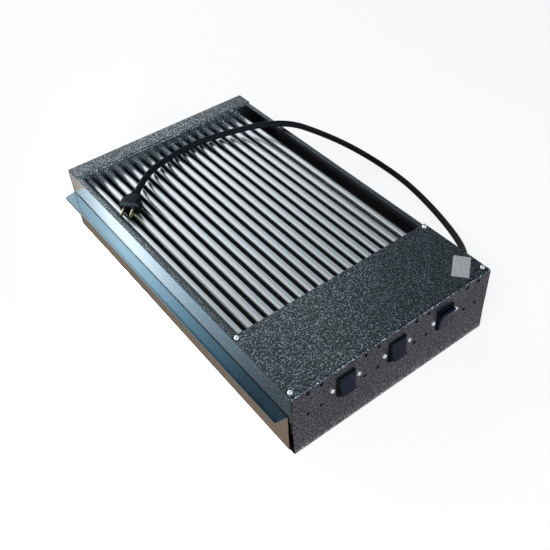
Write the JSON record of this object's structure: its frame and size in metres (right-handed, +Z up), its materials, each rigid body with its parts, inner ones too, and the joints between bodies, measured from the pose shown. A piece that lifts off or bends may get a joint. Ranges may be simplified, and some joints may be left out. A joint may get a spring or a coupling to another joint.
{
  "type": "electric grill",
  "caption": "Flat table-top electric grill with a grate of heated steel tubes over a pull-out drip tray, rocker switches in the front panel and a mains cord laid across the grate.",
  "frame": {"origin": "on the table, below the middle of the grill's box with the tray lip and the rockers, without the cord", "axes": "+X to the right as seen from the switches, +Y from the switches to the rear, +Z up"},
  "size_m": [0.4582, 0.5274, 0.1128],
  "materials": {
    "hammer_paint": "dark grey hammer finish",
    "bare_steel": "bare, shiny",
    "tube_steel": "polished stainless",
    "tray_steel": "bright galvanised sheet",
    "switch_plastic": "glossy black",
    "inner_plastic": "matt black",
    "ceramic": "unglazed off-white ceramic",
    "brass": "plain",
    "copper": "plain copper",
    "screw_chrome": "bright",
    "cord_rubber": "satin black"
  },
  "bodies": {
    "housing": {"control_cover": "hammer_paint", "rear_box": "hammer_paint", "rear_box_floor": "hammer_paint", "right_wall": "hammer_paint", "left_rail": "hammer_paint", "control_pan": "hammer_paint", "bulkhead": "hammer_paint", "left_wall": "bare_steel", "grill_tube_01": "tube_steel", "grill_tube_02": "tube_steel", "grill_tube_03": "tube_steel", "grill_tube_04": "tube_steel", "grill_tube_05": "tube_steel", "grill_tube_06": "tube_steel", "grill_tube_07": "tube_steel", "grill_tube_08": "tube_steel", "grill_tube_09": "tube_steel", "grill_tube_10": "tube_steel", "grill_tube_11": "tube_steel", "grill_tube_12": "tube_steel", "grill_tube_13": "tube_steel", "grill_tube_14": "tube_steel", "grill_tube_15": "tube_steel", "grill_tube_16": "tube_steel", "grill_tube_17": "tube_steel", "grill_tube_18": "tube_steel", "switch_housing_left": "switch_plastic", "switch_housing_centre": "switch_plastic", "switch_housing_right": "switch_plastic", "terminal_block": "inner_plastic", "strain_relief": "inner_plastic", "strain_relief_nut": "inner_plastic", "end_seals_front": "ceramic", "end_seals_rear": "ceramic", "heater_blades_front": "brass", "heater_blades_rear": "brass", "switch_terminals": "brass", "plug_blades": "brass", "rear_links": "brass", "line_bus_left": "copper", "line_bus_centre": "copper", "line_bus_right": "copper", "neutral_bus": "copper", "supply_bar": "copper", "supply_strap": "copper", "neutral_strap": "copper", "switch_straps": "copper", "cord_cores": "copper", "switch_screws": "screw_chrome", "cover_screws": "screw_chrome", "power_cord": "cord_rubber", "plug_body": "cord_rubber"},
    "drip_tray": {"drip_tray": "tray_steel"},
    "rocker_left": {"rocker_left": "switch_plastic"},
    "rocker_centre": {"rocker_centre": "switch_plastic"},
    "rocker_right": {"rocker_right": "switch_plastic"}
  },
  "joints": [
    {"name": "rocker_left_tip", "type": "hinge", "parent": "housing", "child": "rocker_left", "pos_m": [-0.068, -0.25457, 0.072], "axis": [1, 0, 0], "range_deg": [0, 20]},
    {"name": "rocker_centre_tip", "type": "hinge", "parent": "housing", "child": "rocker_centre", "pos_m": [0.0085, -0.25457, 0.072], "axis": [1, 0, 0], "range_deg": [0, 20]},
    {"name": "rocker_right_tip", "type": "hinge", "parent": "housing", "child": "rocker_right", "pos_m": [0.085, -0.25457, 0.072], "axis": [1, 0, 0], "range_deg": [-20, 0]},
    {"name": "tray_slide", "type": "slide", "parent": "housing", "child": "drip_tray", "axis": [-1, 0, 0], "range_m": [0, 0.3]}
  ]
}
